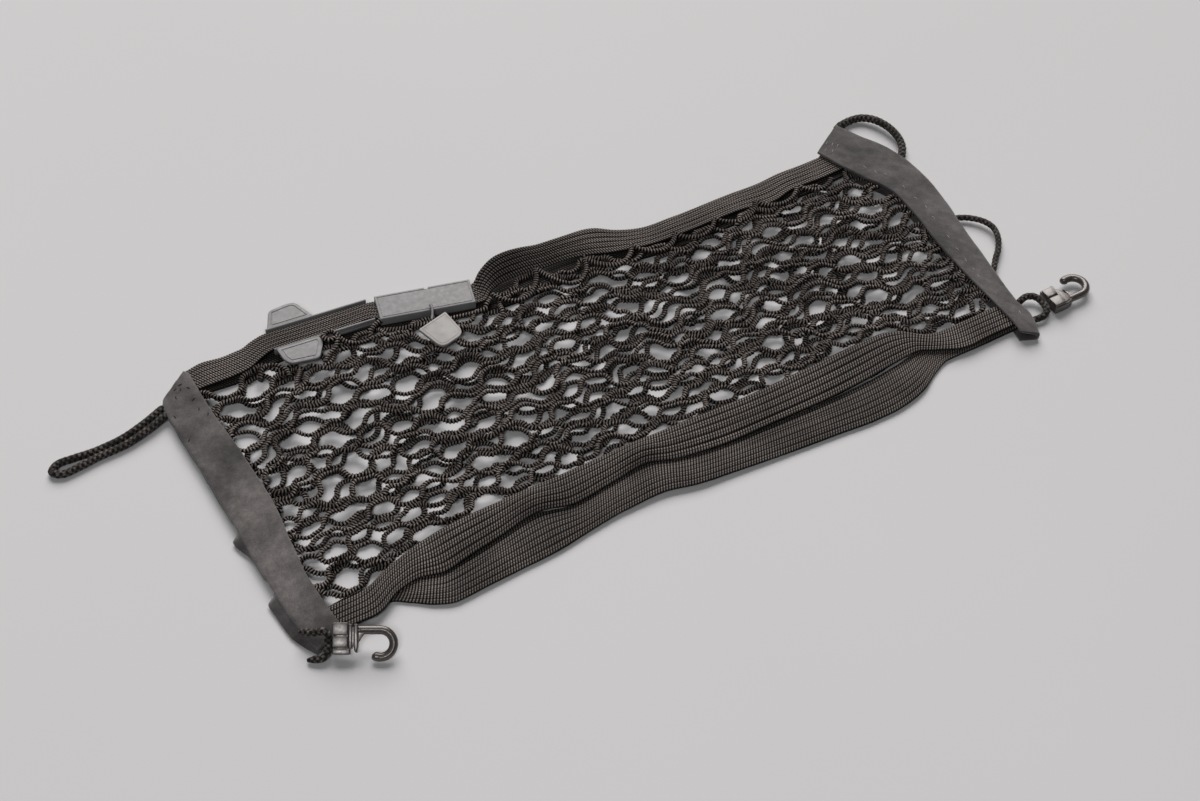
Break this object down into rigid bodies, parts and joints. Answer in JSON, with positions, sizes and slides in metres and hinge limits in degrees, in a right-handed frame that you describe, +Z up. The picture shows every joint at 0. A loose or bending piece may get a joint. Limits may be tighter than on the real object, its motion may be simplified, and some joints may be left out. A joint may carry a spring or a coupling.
{
  "type": "cargo net",
  "caption": "Relaxed elastic cargo net: two mesh layers between ribbed webbing and folded bindings, with cord loops, moulded hooks and a sliding clip.",
  "frame": {"origin": "middle of the solids' box without the free cords, on the surface that the net lies on", "axes": "+X along the net, towards the end with the flat hook, +Y towards the webbing with the clip, +Z up"},
  "size_m": [0.5941, 0.261, 0.0176],
  "materials": {
    "yarn": "matt braided elastic yarn",
    "webbing": "matt ribbed elastic webbing",
    "binding": "brushed grey synthetic",
    "cord": "round braided cord",
    "hook_plastic": "moulded, glossy",
    "clip_plastic": "moulded, satin",
    "tab_plastic": "moulded, satin, scuffed"
  },
  "bodies": {
    "root": {"net_upper": "yarn", "net_lower": "yarn", "band_near_upper": "webbing", "band_near_lower": "webbing", "band_far_upper": "webbing", "band_far_lower": "webbing", "strip_left": "binding", "strip_right": "binding", "loop_left": "cord", "loop_right_far": "cord", "loop_right_mid": "cord", "hook_cord_left": "cord", "hook_cord_right": "cord", "hook_left": "hook_plastic", "hook_right": "hook_plastic", "clip_channel": "clip_plastic", "clip_sleeve": "clip_plastic", "clip_wire": "clip_plastic", "clip_tab": "tab_plastic"}
  },
  "joints": []
}
